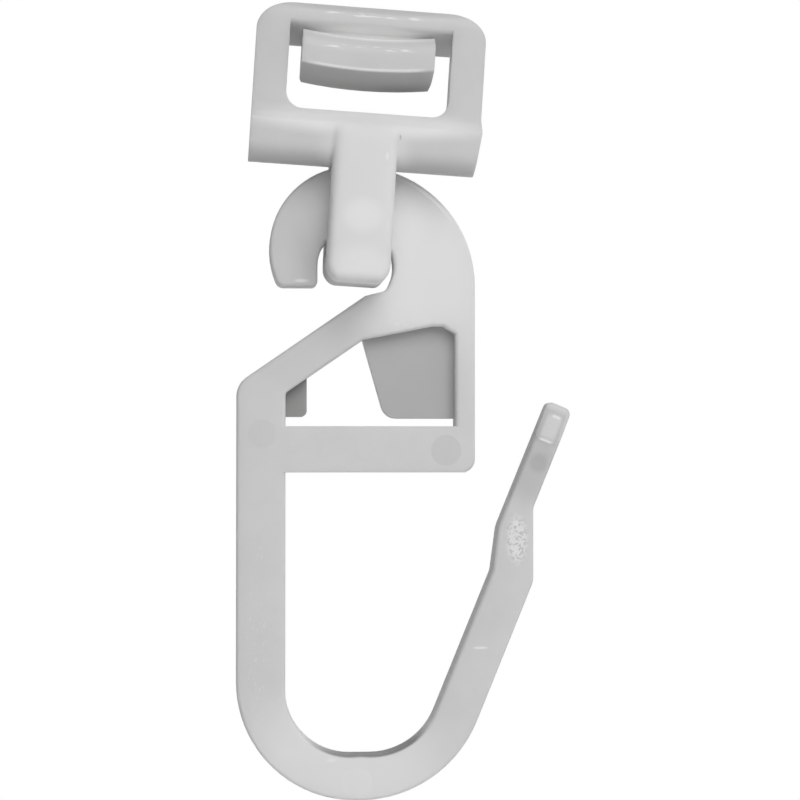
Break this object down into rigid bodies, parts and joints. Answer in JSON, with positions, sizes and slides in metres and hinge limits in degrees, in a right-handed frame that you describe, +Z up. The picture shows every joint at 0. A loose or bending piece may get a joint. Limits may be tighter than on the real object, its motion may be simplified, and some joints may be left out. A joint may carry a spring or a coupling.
{
  "type": "curtain track glider with pleat hook",
  "caption": "White plastic click-in curtain track glider with a windowed head, snap tongue and eye ring, carrying a clip-on pleat hook for heading tape.",
  "frame": {"origin": "middle of the glider along the track, on the front face of its window frame, at the level of the front track flange", "axes": "+X along the track, +Y to the back, +Z up; the tongue side of the glider and the crossbar side of the hook face -Y"},
  "size_m": [0.0194, 0.0077, 0.0451],
  "materials": {
    "glider_plastic": "satin white, slightly translucent",
    "hook_plastic": "satin white, slightly translucent"
  },
  "bodies": {
    "glider": {"glider": "glider_plastic"},
    "pleat_hook": {"pleat_hook": "hook_plastic"}
  },
  "joints": [
    {"name": "hook_swing", "type": "hinge", "parent": "glider", "child": "pleat_hook", "pos_m": [0, 0.0023, -0.00803], "axis": [0, 1, 0], "range_deg": [-36, 80]}
  ]
}
